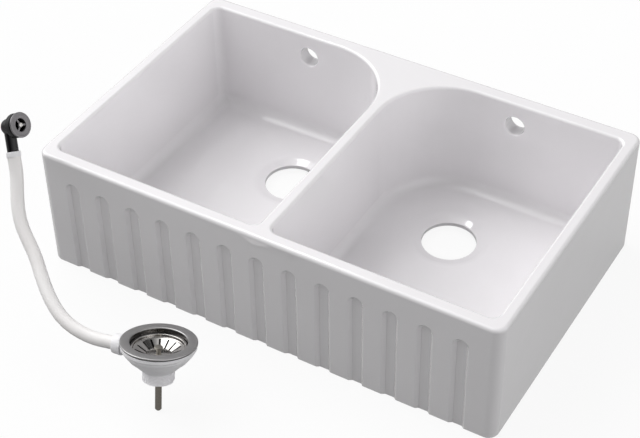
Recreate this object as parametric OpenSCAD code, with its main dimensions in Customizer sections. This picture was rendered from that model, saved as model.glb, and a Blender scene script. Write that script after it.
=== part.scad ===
// Double bowl farmhouse sink with a fluted apron front, and the strainer waste
// and overflow set that comes with it, standing beside it.
// Lengths are in millimetres. The origin is the centre of the sink's underside,
// with +X to the right along the apron, +Y to the back and +Z up.

/* [Sink body] */
// Width of the sink along the apron
sink_w = 795; // [760:1:900]
// Depth of the sink from apron to back
sink_d = 500; // [460:1:560]
// Height of the sink
sink_h = 220; // [200:1:260]
// Radius of the outer upright corners
corner_r = 18; // [12:1:24]
// Radius of the outer top edge
top_edge_r = 6; // [4:0.5:10]
// Radius of the outer bottom edge
bottom_edge_r = 4; // [2:0.5:8]
// Thickness of each side wall at the rim
side_wall = 20; // [19:1:30]
// Thickness of the apron wall at the rim
front_wall = 23; // [20:1:32]
// Thickness of the back wall at the rim
back_wall = 26; // [20:1:36]
// Thickness of the wall between the bowls at the rim
divider_w = 20; // [18:1:30]

/* [Bowls] */
// Radius of the edge where the rim turns down into a bowl
rim_edge_r = 5; // [3:0.5:8.5]
// Radius of the three tight upright corners of a bowl
bowl_corner_r = 13; // [12:1:40]
// Radius of the wide rear corner beside the divider, which leaves the tap deck
deck_corner_r = 120; // [90:1:125]
// How far the bowl walls lean in from rim to floor
wall_draft = 3; // [1:0.5:6]
// Radius between the bowl walls and the floor
floor_fillet_r = 20; // [12:1:24]
// Thickness of the bottom where a wall meets the floor
floor_t = 22; // [20:0.5:28]
// How far the floor falls from the walls to the waste recess
floor_fall = 3; // [1:0.5:4]

/* [Waste holes] */
// Distance of each waste hole from the centre line
waste_x = 150; // [140:1:160]
// Distance of the waste holes behind the centre line
waste_y = 91; // [85:1:100]
// Radius of the waste holes
waste_hole_r = 45; // [44:0.5:46]
// Radius of the flat ring that the dished seat leaves round the waste hole
seat_r = 47; // [46:0.5:50]
// Depth of the dished seat below the low end of the floor
seat_depth = 4.5; // [2:0.5:5]
// Radius of the recess where it meets the floor
recess_r = 62; // [61:0.5:65]
// Thickness of the lip that the waste clamps
lip_t = 6.5; // [5:0.5:9]
// Radius of the hollow under each lip that takes the waste body
relief_r = 62; // [59:0.5:70]

/* [Overflow holes] */
// Distance of each overflow hole from the centre line
overflow_x = 192.5; // [180:0.5:205]
// Height of the overflow holes
overflow_z = 177; // [160:1:182]
// Radius of the overflow holes
overflow_hole_r = 17; // [16:0.5:19]
// Radius of the rounded mouth of each overflow hole
overflow_lip_r = 3; // [1:0.5:4]

/* [Apron flutes] */
// Number of flutes across the apron
flute_count = 13; // [3:2:13]
// Distance from one flute to the next
flute_pitch = 56; // [40:1:58]
// Width of a flute at the face of the apron
flute_w = 25; // [18:0.5:32]
// Width of a flute at its floor
flute_floor_w = 14; // [8:0.5:16]
// Depth of a flute
flute_depth = 5.5; // [3:0.5:8]
// Height of the top of the round head of each flute
flute_top_z = 178; // [120:1:190]

/* [Place of the waste set] */
// Distance to the right of the sink's centre line where the stud's tip stands
kit_x = -57; // [-200:1:200]
// Distance behind the sink's centre where the stud's tip stands
kit_y = -440; // [-600:1:-430]
// Angle by which the waste leans
kit_lean = 18; // [5:1:25]
// Compass angle toward which the waste leans
kit_lean_way = 110; // [0:1:180]
// Turn of the waste about its own axis
kit_turn = -100; // [-180:1:180]

/* [Strainer cup] */
// Thickness of the steel sheet of the cup
sheet_t = 1.2; // [0.8:0.1:1.5]
// Radius of the flange
flange_r = 57; // [56.5:0.5:57]
// Radius of the flange's rolled edge
flange_edge_r = 1; // [0.5:0.1:1.2]
// How far the edge of the flange turns down
flange_lip = 1.2; // [0.5:0.1:1.3]
// Radius of the mouth of the cup
mouth_r = 42.3; // [42:0.1:43]
// Radius where the flange bends into the mouth
mouth_edge_r = 1.5; // [0.5:0.1:2]
// Depth of the ledge that carries the basket
ledge_depth = 9.5; // [8:0.5:11]
// Radius of the cup below the ledge
cup_r = 39; // [38.8:0.1:39.5]
// Depth where the cup's wall turns into its cone
cup_wall_depth = 22; // [20:0.5:24]
// Radius of the flat floor of the cup
cup_floor_r = 28; // [27:0.5:30]
// Depth of the floor of the cup
cup_depth = 33; // [32:0.5:35]
// Number of drain holes in the floor of the cup
drain_count = 6; // [3:1:8]
// Radius of a drain hole
drain_r = 4.2; // [3:0.1:4.3]
// Radius of the circle of drain holes
drain_ring_r = 14.5; // [14.2:0.1:15]

/* [Gaskets] */
// Thickness of each clamping gasket
gasket_t = 1.5; // [1:0.1:2]
// Inner radius of the clamping gaskets
gasket_in_r = 45; // [44.5:0.1:46]
// Outer radius of the clamping gaskets
gasket_out_r = 55.5; // [54:0.1:55.6]

/* [Waste body] */
// Outer radius of the clamping rim
body_rim_r = 56; // [55:0.5:56]
// Height of the clamping rim
body_rim_h = 4.8; // [3:0.1:6]
// Radius of the shoulder under the rim
body_shoulder_r = 52.6; // [51:0.2:54]
// Depth of the shoulder under the rim
body_shoulder_depth = 15; // [13:0.5:16]
// Radius of the small step half way down the cone
body_step_r = 42; // [41:0.5:44]
// Depth of the small step half way down the cone
body_step_depth = 27; // [25:0.5:29]
// Width of the small step
body_step_w = 1.5; // [0.5:0.1:2]
// Radius at the foot of the cone
body_foot_r = 26.8; // [26:0.1:28]
// Distance from the cup's floor down to the foot of the cone
body_foot_drop = 10; // [9:0.5:13]
// Thickness of the cone's wall
body_wall = 4; // [3:0.1:5]
// Radius of the hollow around the cup's wall
body_mouth_r = 48; // [46:0.5:49]
// Radius of the threaded outlet
outlet_r = 23.9; // [22:0.1:24]
// Length of the threaded outlet
outlet_len = 20; // [18:1:26]
// Radius of the bore of the outlet
outlet_bore_r = 19.5; // [18:0.1:20.5]
// Radius of the hub that holds the brass insert
hub_r = 9; // [8.5:0.1:11]
// Distance from the foot of the cone down to the top of the hub
hub_drop = 4; // [3:0.5:6]
// Number of ribs that carry the hub
hub_rib_count = 3; // [3:1:4]
// Thickness of a hub rib
hub_rib_t = 3; // [2:0.1:4]
// Length of the brass insert, which is the hub's length too
insert_len = 13; // [8:0.5:15]
// Radius of the six sided insert over its corners
insert_r = 7; // [6.5:0.1:7.5]

/* [Overflow spigot] */
// Depth of the spigot's axis below the flange
spigot_depth = 19.2; // [19:0.1:20]
// Outer radius of the spigot
spigot_r = 11.5; // [11:0.1:12]
// Radius of the spigot's bore
spigot_bore_r = 8.5; // [7:0.1:9]
// Radius of the boss at the root of the spigot
spigot_boss_r = 14.5; // [13:0.1:14.6]
// Distance from the waste's axis to the end of the boss
spigot_boss_end = 55.5; // [54:0.5:56]
// Distance from the waste's axis to the near end of the nut
nut_start = 57; // [56.5:0.5:60]
// Length of the union nut
nut_len = 14; // [12:0.5:18]
// Radius of the union nut at its near end
nut_r = 16; // [15:0.1:16.2]
// Radius of the union nut at the hose
nut_end_r = 14.5; // [13.5:0.1:15]
// Thickness of the nut's end wall
nut_wall = 3; // [2:0.1:4]
// Number of grip grooves around the nut
nut_groove_count = 16; // [8:1:20]
// Radius of a grip groove
nut_groove_r = 1.4; // [0.8:0.1:1.8]
// Thickness of the union's flat seal
union_seal_t = 1.2; // [0.8:0.1:2]

/* [Fixing stud] */
// Radius of the stud
stud_r = 5; // [4.5:0.1:5]
// Depth of the stud's tip below the flange
stud_depth = 114; // [100:1:125]
// Radius of the stud's head
stud_head_r = 8; // [7.5:0.1:8.5]
// Height of the stud's head
stud_head_h = 3.5; // [2.5:0.1:3.6]
// Depth of the stud's bore
stud_bore_depth = 45; // [40:1:60]
// Length of the tapered tip
stud_taper = 6; // [3:0.5:10]
// Radius of the flat at the tip
stud_flat_r = 3; // [2:0.1:3.5]
// Thickness of the washer under the stud's head
stud_washer_t = 1; // [0.5:0.1:1.2]
// Radius of the washer under the stud's head
stud_washer_r = 9.2; // [8.5:0.1:9.6]

/* [Basket] */
// Thickness of the basket's sheet
basket_t = 0.8; // [0.5:0.1:1]
// Radius of the basket's rim
basket_rim_r = 40.5; // [40:0.1:41]
// Depth where the basket's wall turns into its dish
basket_wall_depth = 13; // [12:0.5:14]
// Radius of the dish at its top
dish_top_r = 35; // [34:0.5:36]
// Radius of the dish at its floor
dish_floor_r = 20; // [18:0.5:22]
// Depth of the floor of the dish
dish_depth = 22.8; // [21:0.1:24]
// Number of slots in the dish
slot_count = 16; // [8:1:20]
// Width of a slot
slot_w = 3; // [1.5:0.1:3.4]
// Radius of the knob
knob_r = 6.5; // [5.5:0.1:8]
// Thickness of the knob's head
knob_t = 2.6; // [2:0.1:4]
// Depth of the top of the knob below the flange
knob_depth = 9; // [6:0.5:12]
// Radius of the knob's neck
knob_neck_r = 3.5; // [3.2:0.1:4.5]
// Radius of the basket's stem
stem_r = 3.3; // [3.1:0.05:3.6]
// Depth of the end of the stem
stem_depth = 50; // [45:1:60]
// Radius of the stem's threaded top
stem_top_r = 2.4; // [2:0.1:2.6]
// Radius of the collar under the seal
stem_collar_r = 11; // [9:0.5:14]
// Thickness of the collar under the seal
stem_collar_t = 1.5; // [1:0.1:1.6]
// Outer radius of the basket's seal
seal_r = 25; // [24:0.5:26.5]
// Thickness of the seal's skirt
seal_skirt_t = 3; // [2:0.5:3.5]
// Thickness of the seal's disc
seal_t = 2; // [1.5:0.1:2.1]
// Width of the ring near the end of the stem
stem_ring_w = 1.5; // [1:0.1:2]

/* [Overflow hose] */
// Outer radius of the hose
hose_r = 10.2; // [9.8:0.1:10.3]
// Radius of the hose's bore
hose_bore_r = 8.6; // [8.4:0.1:8.8]
// Radius of the tail and the barb that the hose is pushed on
tail_r = 8; // [7.5:0.1:8]
// Radius of the way through the tail and the barb
tail_bore_r = 6.4; // [5.5:0.1:6.8]
// Length of the tail and the barb inside the hose
tail_len = 12; // [8:0.5:18]
// Thickness of the collar of the tail inside the nut
tail_collar_t = 1.8; // [1:0.1:2.5]
// Outer radius of the cuff on the hose's top end
cuff_r = 11.2; // [11:0.1:12.5]
// Length of the cuff
cuff_len = 8; // [6:0.5:12]

/* [Overflow elbow] */
// Angle by which the elbow's leg tips from the waste's axis
elbow_tip = 22; // [0:1:40]
// Compass angle toward which the leg tips, about the waste's axis
elbow_way = 141; // [120:1:160]
// Turn of the elbow about its leg
elbow_turn = -160; // [-180:1:180]
// Radius of the elbow's domed back
dome_r = 12.5; // [11.5:0.1:14]
// Thickness of the elbow's wall
elbow_wall = 2.5; // [1.5:0.1:2.6]
// Radius of the elbow's leg
leg_r = 8.8; // [8.6:0.1:9.6]
// Length of the elbow's leg from the dome's centre to the hose
leg_len = 38; // [30:1:45]
// Distance from the dome's centre to the face of the elbow's flange
elbow_face_x = 13.7; // [13:0.1:16]
// Radius of the elbow's flange
elbow_flange_r = 18; // [16:0.5:20]
// Thickness of the elbow's flange
elbow_flange_t = 1.2; // [1:0.1:2]
// Radius of the boss that holds the elbow's insert
boss_r = 4; // [3.6:0.1:5]
// Distance from the dome's centre to the end of that boss
boss_end_x = 8; // [6:0.5:10]
// Outer radius of the elbow's insert
elbow_insert_r = 3; // [2.6:0.1:3.2]
// Outer radius of the overflow washer
washer_r = 18.7; // [17:0.1:20]
// Inner radius of the overflow washer
washer_bore_r = 11.5; // [10:0.5:12.5]
// Thickness of the overflow washer
washer_t = 9; // [5:0.5:12]

/* [Overflow rose] */
// Radius of the rose's plate
rose_r = 19.3; // [18:0.1:22]
// Thickness of the rose's plate
rose_t = 3; // [2:0.1:4]
// Radius of the rose's rear collar
rose_collar_r = 13.5; // [12.5:0.1:15]
// Thickness of the rose's rear collar
rose_collar_t = 3; // [2:0.1:6]
// Radius of the opening in the rose
rose_open_r = 9.8; // [8:0.1:11]
// Radius of the rounded edges of the rose
rose_edge_r = 1; // [0.4:0.1:1.2]
// Step between the rose's rim and its face
rose_rim_step = 0.4; // [0.2:0.1:0.8]
// Width of a spoke in the rose
spoke_w = 3; // [2:0.1:4]
// Radius of the hub of the rose
rose_hub_r = 4; // [3.6:0.1:5]
// Radius of the rose screw's shank
screw_r = 1.9; // [1.5:0.05:2]
// Radius of the rose screw's head
screw_head_r = 3.2; // [2.6:0.1:3.5]
// Height of the rose screw's head
screw_head_h = 1.4; // [1:0.1:1.6]

/* [Fits] */
// Gap between the basket's pieces and what they rest on
rest_gap = 0.3; // [0.2:0.05:0.4]
// Running clearance of the stem in the stud
run_gap = 0.08; // [0.04:0.01:0.1]
// Clearance of a thread or a push fit
thread_gap = 0.1; // [0.05:0.01:0.15]

/* [Hidden] */

// Smoothness of round pieces, of the block's rounded corners and of the hose
round_fn = 96;
corner_fn = 32;
hose_sides = 12;

// Overrun of every cut past the face that it opens
cut = 1;

// Steps along the rounded edges and corners
edge_steps = 5;
corner_steps = 5;
deck_steps = 12;
side_steps = 3;

// Heights and insets inside a bowl
floor_low_z = floor_t - floor_fall;
seat_z = floor_low_z - seat_depth;
relief_h = seat_z - lip_t;
fillet_z = floor_t + floor_fillet_r;
rim_z = sink_h - rim_edge_r;
tight_r = bottom_edge_r / 2;
drain_flat_r = (seat_r + recess_r) / 2;
recess_slope = (recess_r - seat_r) / seat_depth;

// Flute heights and the slope of its sides
flute_arch_z = flute_top_z - flute_w / 2;
flute_slope = (flute_w - flute_floor_w) / 2 / flute_depth;

// Depths in the waste set, all measured down from the top of the flange
gasket_top = sheet_t;
gasket_mid = gasket_top + gasket_t;
gasket_low = gasket_mid + gasket_t;
body_foot_depth = cup_depth + body_foot_drop;
outlet_depth = body_foot_depth + outlet_len;
ledge_low = ledge_depth + sheet_t;
hub_top = body_foot_depth + hub_drop;
neck_depth = body_foot_depth + body_wall / 2;
stud_head_low = cup_depth - stud_washer_t;
stud_head_top = stud_head_low - stud_head_h;
basket_rim_low = ledge_depth - rest_gap;
seal_top = dish_depth + basket_t;
collar_top = seal_top + seal_t;
ring_depth = stem_depth - 2 * stem_ring_w;
groove_share = 0.75;
groove_r = stem_r * groove_share;

// Places along the spigot, measured out from the waste's axis
nut_end = nut_start + nut_len;
shoulder = nut_end - nut_wall;
tail_collar_start = shoulder - tail_collar_t;
spigot_end = tail_collar_start - union_seal_t;

// Where the elbow stands from the centre of the flange, and the route that the
// hose bends through between its two straight ends
elbow_at = [-305, 115, 240];
hose_bends = [[-165, 5, -5], [-210, 35, 40], [-230, 55, 70], [-270, 70, 110]];
hose_straight = 2 * hose_r;
leg_way = [sin(elbow_tip) * cos(elbow_way), sin(elbow_tip) * sin(elbow_way), cos(elbow_tip)];
hose_foot = [-nut_end, 0, -spigot_depth];
hose_top = elbow_at - leg_len * leg_way;
hose_points = concat(
    [for (i = [0:2]) hose_foot - i * hose_straight * [1, 0, 0]],
    hose_bends,
    [for (i = [2:-1:0]) hose_top - i * hose_straight * leg_way]
);
hose_steps = 2;

// Places along the rose's axis, measured out from the dome's centre
rose_x = elbow_face_x + washer_t;
plate_x = rose_x + rose_collar_t;
rose_front_x = plate_x + rose_t;
rose_rim_share = 0.85;
hub_front_x = rose_front_x - screw_head_h;
screw_end_x = boss_end_x / 4;

// Points of an arc
function arc(x, y, r, from, to, steps) = [
    for (i = [0:steps])
        let (a = from + (to - from) * i / steps)
        [x + r * cos(a), y + r * sin(a)]
];

// Points strictly between two points
function between(p, q, steps) = [for (i = [1:steps]) p + (q - p) * i / (steps + 1)];

// Outline of the right bowl, drawn in by an inset, counterclockwise from above
function bowl_outline(inset) =
    let (
        x0 = divider_w / 2 + inset,
        x1 = sink_w / 2 - side_wall - inset,
        y0 = front_wall - sink_d / 2 + inset,
        y1 = sink_d / 2 - back_wall - inset,
        r = max(bowl_corner_r - inset, tight_r),
        deck_r = deck_corner_r - inset,
        front_right = arc(x1 - r, y0 + r, r, -90, 0, corner_steps),
        rear_right = arc(x1 - r, y1 - r, r, 0, 90, corner_steps),
        rear_deck = arc(x0 + deck_r, y1 - deck_r, deck_r, 90, 180, deck_steps),
        front_left = arc(x0 + r, y0 + r, r, 180, 270, corner_steps)
    )
    concat(
        front_right,
        between([x1, y0 + r], [x1, y1 - r], side_steps),
        rear_right,
        between([x1 - r, y1], [x0 + deck_r, y1], side_steps),
        rear_deck,
        between([x0, y1 - deck_r], [x0, y0 + r], side_steps),
        front_left,
        between([x0 + r, y0], [x1 - r, y0], side_steps)
    );

// The bowl's outline lifted to a height
function at_height(points, z) = [for (p = points) [p.x, p.y, z]];

// The same number of points on a circle round the waste hole
function round_waste(points, r, z) = [
    for (p = points)
        let (a = atan2(p.y - waste_y, p.x - waste_x))
        [waste_x + r * cos(a), waste_y + r * sin(a), z]
];

// Faces of a solid lofted through rings of n points, from the lowest ring up,
// closed by fans to a middle point of the lowest ring and one of the highest
function loft_faces(n, rings) = concat(
    [
        for (k = [0:rings - 2], i = [0:n - 1])
            let (a = k * n + i, b = k * n + (i + 1) % n)
            each [[a, a + n, b + n], [a, b + n, b]]
    ],
    [
        for (i = [0:n - 1])
            let (j = (i + 1) % n, low = n * rings, top = n * (rings - 1))
            each [[low, i, j], [low + 1, top + j, top + i]]
    ]
);

// Draws its children in the waste set's frame, whose origin is the centre of
// the flange's top, with the waste's axis down -Z and the spigot toward -X
module kit_place() {
    translate([kit_x, kit_y, stud_flat_r * sin(kit_lean)])
        rotate([0, kit_lean, kit_lean_way])
            rotate([0, 0, kit_turn])
                translate([0, 0, stud_depth])
                    children();
}

// Draws its children with +Z out along the spigot
module on_spigot() {
    kit_place()
        translate([0, 0, -spigot_depth])
            rotate([0, -90, 0])
                children();
}

// Draws its children at the elbow, with its leg down -Z and its mouth toward +X
module elbow_place() {
    kit_place()
        translate(elbow_at)
            rotate([0, elbow_tip, elbow_way])
                rotate([0, 0, elbow_turn])
                    children();
}

// Draws its children at the elbow with +Z out through its mouth
module on_mouth() {
    elbow_place()
        rotate([0, 90, 0])
            children();
}

// A flat ring or tube standing on a height
module ring(outer, inner, from, height) {
    translate([0, 0, from])
        difference() {
            cylinder(r = outer, h = height, $fn = round_fn);
            translate([0, 0, -cut])
                cylinder(r = inner, h = height + 2 * cut, $fn = round_fn);
        }
}

// One upright corner of the sink's block with its rounded top and bottom edge
module corner_column() {
    rotate_extrude($fn = corner_fn)
        polygon(concat(
            [[0, 0]],
            arc(corner_r - bottom_edge_r, bottom_edge_r, bottom_edge_r, -90, 0, edge_steps),
            arc(corner_r - top_edge_r, sink_h - top_edge_r, top_edge_r, 0, 90, edge_steps),
            [[0, sink_h]]
        ));
}

// The sink's block before the bowls are taken out
module block() {
    x = sink_w / 2 - corner_r;
    y = sink_d / 2 - corner_r;
    hull()
        for (sx = [-1, 1], sy = [-1, 1])
            translate([sx * x, sy * y, 0])
                corner_column();
}

// The hollow of the right bowl, from its falling floor to its rounded rim
module bowl_hollow() {
    foot = bowl_outline(wall_draft + floor_fillet_r);
    rings = concat(
        [round_waste(foot, drain_flat_r, floor_low_z)],
        [
            for (p = arc(0, 0, floor_fillet_r, -90, 0, edge_steps))
                at_height(bowl_outline(wall_draft + floor_fillet_r - p.x), fillet_z + p.y)
        ],
        [
            for (p = arc(0, 0, rim_edge_r, 180, 90, edge_steps))
                at_height(bowl_outline(-rim_edge_r - p.x), rim_z + p.y)
        ],
        [at_height(bowl_outline(-rim_edge_r), sink_h + cut)]
    );
    middles = [[waste_x, waste_y, floor_low_z], [waste_x, waste_y, sink_h + cut]];
    polyhedron(
        points = concat([for (r = rings) each r], middles),
        faces = loft_faces(len(foot), len(rings))
    );
}

// The recess, the waste hole and the hollow under its lip, on the right
module waste_cut() {
    translate([waste_x, waste_y, 0]) {
        translate([0, 0, seat_z])
            cylinder(
                r1 = seat_r,
                r2 = recess_r + floor_fall * recess_slope,
                h = seat_depth + floor_fall,
                $fn = round_fn
            );
        translate([0, 0, -cut])
            cylinder(r = waste_hole_r, h = seat_z + 2 * cut, $fn = round_fn);
        translate([0, 0, -cut])
            cylinder(r = relief_r, h = relief_h + cut, $fn = round_fn);
    }
}

// How far a bowl wall has leaned in at the overflow hole's height
function overflow_inset() =
    wall_draft * (rim_z - overflow_z) / (rim_z - fillet_z);

// The right overflow hole with its rounded mouth
module overflow_cut() {
    depth = back_wall + overflow_inset();
    translate([overflow_x, sink_d / 2 - depth, overflow_z])
        rotate([-90, 0, 0])
            rotate_extrude($fn = round_fn)
                polygon(concat(
                    [[0, -cut], [overflow_hole_r + overflow_lip_r, -cut]],
                    arc(
                        overflow_hole_r + overflow_lip_r,
                        overflow_lip_r,
                        overflow_lip_r,
                        -90,
                        -180,
                        edge_steps
                    ),
                    [[overflow_hole_r, depth + cut], [0, depth + cut]]
                ));
}

// One flute, a round headed groove with sloped sides that runs out below
module flute() {
    mouth_w = flute_w + 2 * cut * flute_slope;
    translate([0, -sink_d / 2, 0]) {
        translate([0, -cut, flute_arch_z])
            rotate([-90, 0, 0])
                cylinder(
                    d1 = mouth_w,
                    d2 = flute_floor_w,
                    h = flute_depth + cut,
                    $fn = round_fn
                );
        translate([0, 0, -cut])
            linear_extrude(flute_arch_z + cut)
                polygon([
                    [-mouth_w / 2, -cut],
                    [mouth_w / 2, -cut],
                    [flute_floor_w / 2, flute_depth],
                    [-flute_floor_w / 2, flute_depth]
                ]);
    }
}

// Fireclay body with both bowls, the tap deck, the holes and the fluted apron
module sink_body() {
    color("whitesmoke")
        difference() {
            block();
            for (side = [0, 1])
                mirror([side, 0, 0]) {
                    bowl_hollow();
                    waste_cut();
                    overflow_cut();
                }
            for (i = [0:flute_count - 1])
                translate([(i - (flute_count - 1) / 2) * flute_pitch, 0, 0])
                    flute();
        }
}

// Pressed steel cup with its flange, ledge and drained floor
module strainer_cup() {
    cone_turn = atan2(cup_r - cup_floor_r, cup_depth - cup_wall_depth);
    outside_drop = sheet_t * tan(cone_turn / 2);
    outside_step = sheet_t * tan((90 - cone_turn) / 2);
    hole_r = stud_r + thread_gap;
    color("silver")
        kit_place()
            difference() {
                rotate_extrude($fn = round_fn)
                    polygon(concat(
                        arc(mouth_r + mouth_edge_r, -mouth_edge_r, mouth_edge_r, 90, 180, edge_steps),
                        [
                            [mouth_r, -ledge_depth],
                            [cup_r, -ledge_depth],
                            [cup_r, -cup_wall_depth],
                            [cup_floor_r, -cup_depth],
                            [hole_r, -cup_depth],
                            [hole_r, -cup_depth - sheet_t],
                            [cup_floor_r + outside_step, -cup_depth - sheet_t],
                            [cup_r + sheet_t, -cup_wall_depth - outside_drop],
                            [cup_r + sheet_t, -ledge_low],
                            [mouth_r + sheet_t, -ledge_low],
                            [mouth_r + sheet_t, -sheet_t],
                            [flange_r - sheet_t, -sheet_t],
                            [flange_r - sheet_t, -sheet_t - flange_lip],
                            [flange_r, -sheet_t - flange_lip]
                        ],
                        arc(flange_r - flange_edge_r, -flange_edge_r, flange_edge_r, 0, 90, edge_steps)
                    ));
                for (i = [0:drain_count - 1])
                    rotate([0, 0, i * 360 / drain_count])
                        translate([drain_ring_r, 0, -cup_depth - sheet_t - cut])
                            cylinder(r = drain_r, h = sheet_t + 2 * cut, $fn = round_fn);
            }
}

// Gasket between the flange and the sink's seat
module flange_gasket() {
    color("black")
        kit_place()
            ring(gasket_out_r, gasket_in_r, -gasket_mid, gasket_t);
}

// Gasket between the sink's lip and the waste body
module body_gasket() {
    color("black")
        kit_place()
            ring(gasket_out_r, gasket_in_r, -gasket_low, gasket_t);
}

// Outside of the waste body as a turned solid
module body_outside() {
    edge = (body_rim_r - body_shoulder_r) / 2;
    rotate_extrude($fn = round_fn)
        polygon([
            [0, -gasket_low],
            [body_rim_r, -gasket_low],
            [body_rim_r, -gasket_low - body_rim_h],
            [body_rim_r - edge, -gasket_low - body_rim_h - edge],
            [body_shoulder_r, -body_shoulder_depth],
            [body_step_r + body_step_w, -body_step_depth],
            [body_step_r, -body_step_depth],
            [body_foot_r, -body_foot_depth],
            [outlet_r, -body_foot_depth],
            [outlet_r, -outlet_depth],
            [0, -outlet_depth]
        ]);
}

// Hollow of the waste body, which clears the cup and narrows to the outlet
module body_hollow() {
    neck_r = (body_foot_r + outlet_bore_r) / 2 - body_wall / 4;
    rotate_extrude($fn = round_fn)
        polygon([
            [0, cut - gasket_low],
            [body_mouth_r, cut - gasket_low],
            [body_mouth_r, body_wall / 4 - body_shoulder_depth],
            [cup_floor_r + body_wall, -cup_depth - sheet_t],
            [neck_r, -body_foot_depth],
            [outlet_bore_r, -neck_depth],
            [outlet_bore_r, -outlet_depth - cut],
            [0, -outlet_depth - cut]
        ]);
}

// Plastic waste body with the threaded outlet, the overflow spigot and the hub
module waste_body() {
    color("white")
        kit_place() {
            difference() {
                union() {
                    body_outside();
                    translate([0, 0, -spigot_depth])
                        rotate([0, -90, 0]) {
                            cylinder(r = spigot_r, h = spigot_end, $fn = round_fn);
                            cylinder(r = spigot_boss_r, h = spigot_boss_end, $fn = round_fn);
                        }
                }
                body_hollow();
                translate([-cup_floor_r, 0, -spigot_depth])
                    rotate([0, -90, 0])
                        cylinder(r = spigot_bore_r, h = spigot_end, $fn = round_fn);
            }
            difference() {
                translate([0, 0, -hub_top - insert_len])
                    union() {
                        cylinder(r = hub_r, h = insert_len, $fn = round_fn);
                        for (i = [0:hub_rib_count - 1])
                            rotate([0, 0, i * 360 / hub_rib_count])
                                translate([0, -hub_rib_t / 2, 0])
                                    cube([(outlet_bore_r + outlet_r) / 2, hub_rib_t, insert_len]);
                    }
                translate([0, 0, -hub_top - insert_len - cut])
                    cylinder(r = insert_r + thread_gap, h = insert_len + 2 * cut, $fn = 6);
            }
        }
}

// Six sided brass nut held in the hub
module hub_insert() {
    color("goldenrod")
        kit_place()
            translate([0, 0, -hub_top - insert_len])
                difference() {
                    cylinder(r = insert_r, h = insert_len, $fn = 6);
                    translate([0, 0, -cut])
                        cylinder(r = stud_r + thread_gap, h = insert_len + 2 * cut, $fn = round_fn);
                }
}

// Hollow steel stud that draws the cup and the waste body together
module fixing_stud() {
    bore_r = stem_r + run_gap;
    color("darkgray")
        kit_place()
            rotate_extrude($fn = round_fn)
                polygon([
                    [0, -stud_depth],
                    [stud_flat_r, -stud_depth],
                    [stud_r, stud_taper - stud_depth],
                    [stud_r, -stud_head_low],
                    [stud_head_r, -stud_head_low],
                    [stud_head_r, -stud_head_top - flange_edge_r],
                    [stud_head_r - flange_edge_r, -stud_head_top],
                    [bore_r, -stud_head_top],
                    [bore_r, -stud_head_top - stud_bore_depth],
                    [0, -stud_head_top - stud_bore_depth]
                ]);
}

// Sealing washer under the head of the stud
module stud_washer() {
    color("black")
        kit_place()
            ring(stud_washer_r, stud_r + thread_gap, -cup_depth, stud_washer_t);
}

// Pressed steel basket with its rim, wall and slotted dish
module basket() {
    wall_r = cup_r - rest_gap - basket_t;
    hole_r = stem_top_r + thread_gap;
    top = [
        [basket_rim_r, basket_t - basket_rim_low],
        [wall_r, basket_t - basket_rim_low],
        [wall_r, -basket_wall_depth],
        [dish_top_r, -basket_wall_depth - basket_t],
        [dish_floor_r, -dish_depth],
        [hole_r, -dish_depth]
    ];
    below = [
        [hole_r, -dish_depth - basket_t],
        [dish_floor_r, -dish_depth - basket_t],
        [dish_top_r, -basket_wall_depth - 2 * basket_t],
        [wall_r + basket_t, -basket_wall_depth - basket_t],
        [wall_r + basket_t, -basket_rim_low],
        [basket_rim_r, -basket_rim_low]
    ];
    color("lightgray")
        kit_place()
            difference() {
                rotate_extrude($fn = round_fn)
                    polygon(concat(top, below));
                for (i = [0:slot_count - 1])
                    rotate([0, 0, i * 360 / slot_count])
                        translate([dish_floor_r, -slot_w / 2, -dish_depth - basket_t - cut])
                            cube([
                                dish_top_r - dish_floor_r,
                                slot_w,
                                dish_depth - basket_wall_depth + cut
                            ]);
            }
}

// Turned knob that lifts the basket
module basket_knob() {
    edge = knob_t / 4;
    color("silver")
        kit_place()
            rotate_extrude($fn = round_fn)
                polygon([
                    [0, -knob_depth],
                    [knob_r - edge, -knob_depth],
                    [knob_r, -knob_depth - edge],
                    [knob_r, -knob_depth - knob_t],
                    [knob_neck_r, -knob_depth - knob_t - edge],
                    [knob_neck_r, -dish_depth],
                    [stem_top_r + thread_gap, -dish_depth],
                    [stem_top_r + thread_gap, -knob_depth - 2 * knob_t],
                    [0, -knob_depth - 2 * knob_t]
                ]);
}

// Stem that slides in the stud and carries the seal on its collar
module basket_stem() {
    ring_half = stem_ring_w / 2 + thread_gap;
    color("silver")
        kit_place()
            rotate_extrude($fn = round_fn)
                polygon([
                    [0, -stem_depth],
                    [groove_r, -stem_depth],
                    [stem_r, stem_r - groove_r - stem_depth],
                    [stem_r, -ring_depth - ring_half],
                    [groove_r, -ring_depth - ring_half],
                    [groove_r, -ring_depth + ring_half],
                    [stem_r, -ring_depth + ring_half],
                    [stem_r, -collar_top - stem_collar_t],
                    [stem_collar_r, -collar_top - stem_collar_t],
                    [stem_collar_r, -collar_top],
                    [stem_top_r, -collar_top],
                    [stem_top_r, -knob_depth - 2 * knob_t - thread_gap],
                    [0, -knob_depth - 2 * knob_t - thread_gap]
                ]);
}

// Rubber seal whose skirt closes the drained floor of the cup
module basket_seal() {
    skirt_low = cup_depth - rest_gap;
    color("black")
        kit_place()
            rotate_extrude($fn = round_fn)
                polygon([
                    [stem_top_r + thread_gap, -seal_top],
                    [dish_floor_r, -seal_top],
                    [seal_r, -seal_top - seal_t / 2],
                    [seal_r, -skirt_low],
                    [seal_r - seal_skirt_t / 3, -skirt_low],
                    [seal_r - seal_skirt_t, -collar_top - seal_t],
                    [seal_r - seal_skirt_t, -collar_top],
                    [stem_top_r + thread_gap, -collar_top]
                ]);
}

// Ring that grips the stem lightly in the stud
module stem_ring() {
    color("black")
        kit_place()
            ring(stem_r, groove_r + thread_gap, -ring_depth - stem_ring_w / 2, stem_ring_w);
}

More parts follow.
